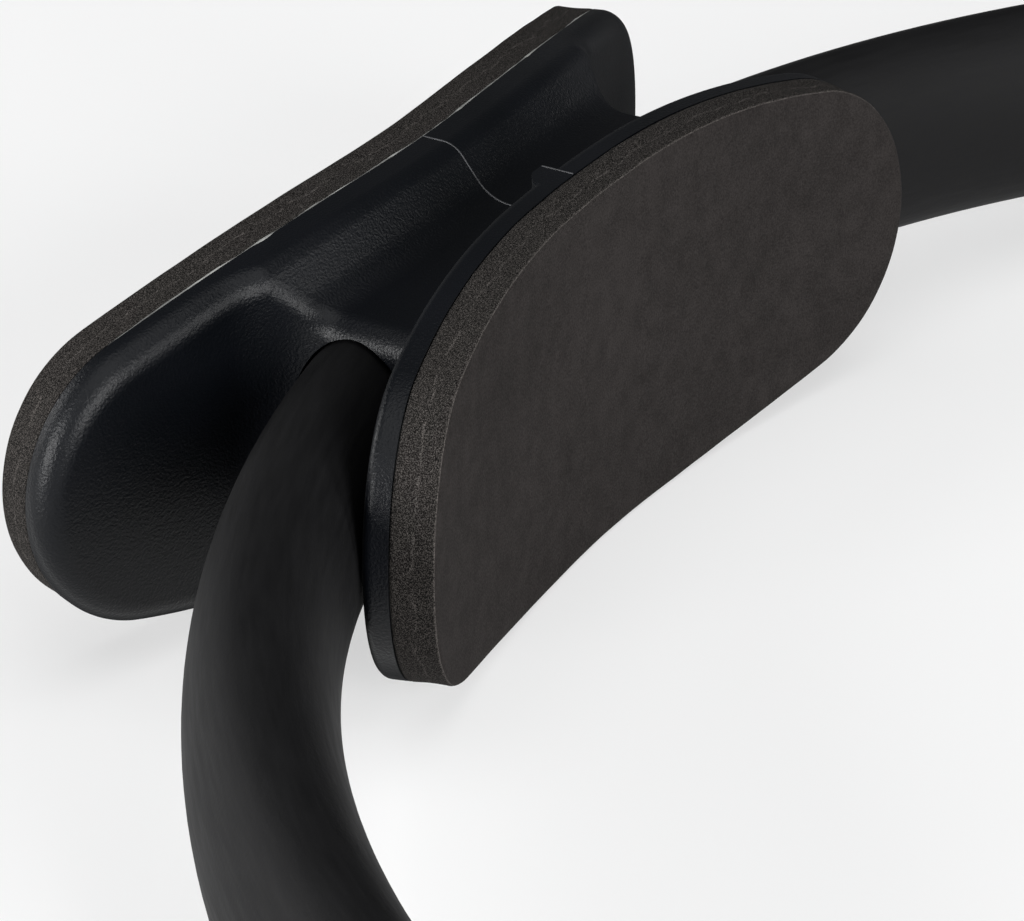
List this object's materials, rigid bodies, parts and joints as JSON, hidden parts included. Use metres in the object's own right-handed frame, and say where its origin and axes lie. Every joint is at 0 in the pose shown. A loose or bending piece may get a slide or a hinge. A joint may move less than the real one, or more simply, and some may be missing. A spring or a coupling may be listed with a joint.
{
  "type": "pilates ring",
  "caption": "Flexible exercise ring of fibreglass strips in foam sleeves, with padded handles at opposite sides, each curved inside and outside the ring, for squeezing.",
  "frame": {"origin": "centre of the ring, half way up its thickness", "axes": "+Z along the ring's axis, up when it lies flat; +Y from the centre to handle a; +X to the right"},
  "size_m": [0.3454, 0.3804, 0.0496],
  "materials": {
    "moulding": "fine grained, satin",
    "pad_foam": "matte foam",
    "sleeve_foam": "matte foam with a smooth skin",
    "adhesive_film": "matte",
    "fibreglass": "satin",
    "steel": "zinc plated"
  },
  "bodies": {
    "ring_and_handle_a": {"handle_a_left_half": "moulding", "handle_a_right_half": "moulding", "handle_a_inner_pad": "pad_foam", "handle_a_outer_pad": "pad_foam", "handle_a_inner_tape": "adhesive_film", "handle_a_outer_tape": "adhesive_film", "handle_a_splice_plate": "steel", "handle_a_screws": "steel", "left_outer_strip": "fibreglass", "left_inner_strip": "fibreglass", "left_foam_sleeve": "sleeve_foam", "right_outer_strip": "fibreglass", "right_inner_strip": "fibreglass", "right_foam_sleeve": "sleeve_foam"},
    "handle_b": {"handle_b_left_half": "moulding", "handle_b_right_half": "moulding", "handle_b_inner_pad": "pad_foam", "handle_b_outer_pad": "pad_foam", "handle_b_inner_tape": "adhesive_film", "handle_b_outer_tape": "adhesive_film", "handle_b_splice_plate": "steel", "handle_b_screws": "steel"}
  },
  "joints": [
    {"name": "squeeze", "type": "slide", "parent": "ring_and_handle_a", "child": "handle_b", "axis": [0, 1, 0], "range_m": [0, 0.08], "stiffness_N_per_m": 1600, "deforming": ["left_outer_strip", "left_inner_strip", "left_foam_sleeve", "right_outer_strip", "right_inner_strip", "right_foam_sleeve"]}
  ]
}
